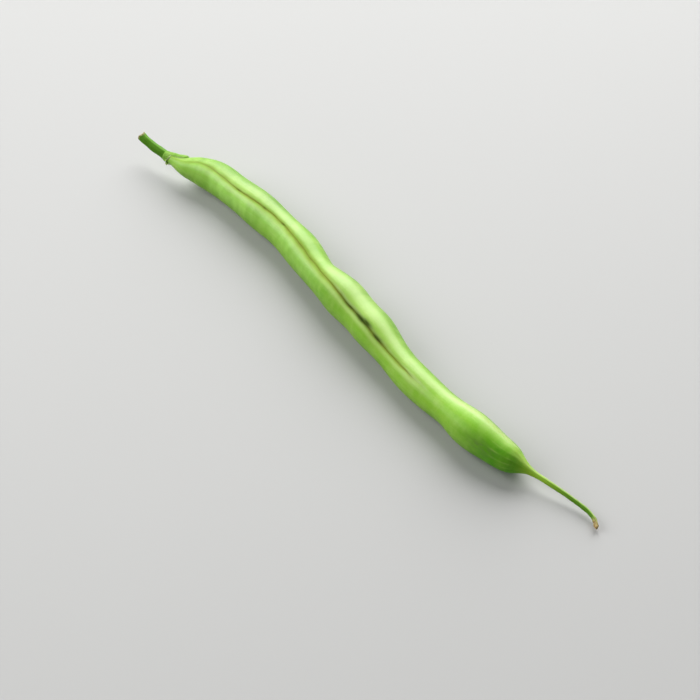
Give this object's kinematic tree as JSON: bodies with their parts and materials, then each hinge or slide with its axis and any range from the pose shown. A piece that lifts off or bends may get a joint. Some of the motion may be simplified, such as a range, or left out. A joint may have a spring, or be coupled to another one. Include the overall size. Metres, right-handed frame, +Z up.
{
  "type": "green bean",
  "caption": "Fresh green bean as picked, lying on a surface: slender S-curved pod swollen over its seeds, with suture lines, a thin beak, a toothed calyx and a short snapped stalk.",
  "frame": {"origin": "middle of the bean's footprint, on the surface that it lies on", "axes": "+X along the bean from its stalk to the tip of its beak, +Y to the left of that seen from above, +Z up"},
  "size_m": [0.164, 0.0178, 0.0111],
  "materials": {
    "pod_skin": "satin green plant skin",
    "calyx_leaf": "thin pale green leaf",
    "stalk_bark": "ribbed green stem, dry where it snapped"
  },
  "bodies": {
    "root": {"pod": "pod_skin", "calyx": "calyx_leaf", "stalk": "stalk_bark"}
  },
  "joints": []
}
